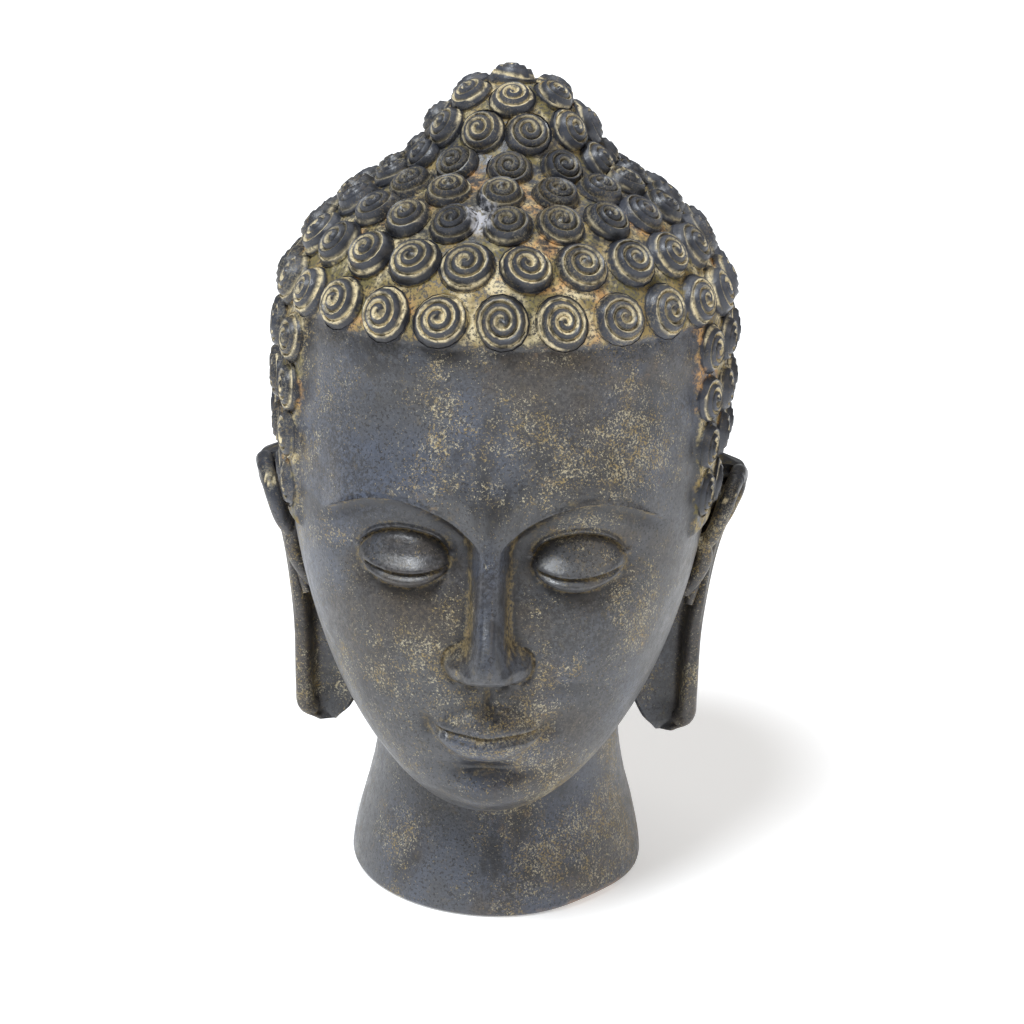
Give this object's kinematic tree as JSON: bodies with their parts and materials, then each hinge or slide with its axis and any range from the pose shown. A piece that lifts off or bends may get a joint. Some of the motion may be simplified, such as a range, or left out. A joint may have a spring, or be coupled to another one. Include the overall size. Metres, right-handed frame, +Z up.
{
  "type": "buddha head",
  "caption": "Cast head of a calm figure with lowered eyes, rows of snail-shell hair curls, a topknot and long ears, on a short flared neck with a flat underside.",
  "frame": {"origin": "middle of the outline on the flat underside of the neck", "axes": "+Z up through the topknot, the face looks along -Y, +X towards the head's own left ear"},
  "size_m": [0.43, 0.4746, 0.6981],
  "materials": {
    "patinated_coat": "matte"
  },
  "bodies": {
    "root": {"buddha_head": "patinated_coat"}
  },
  "joints": []
}
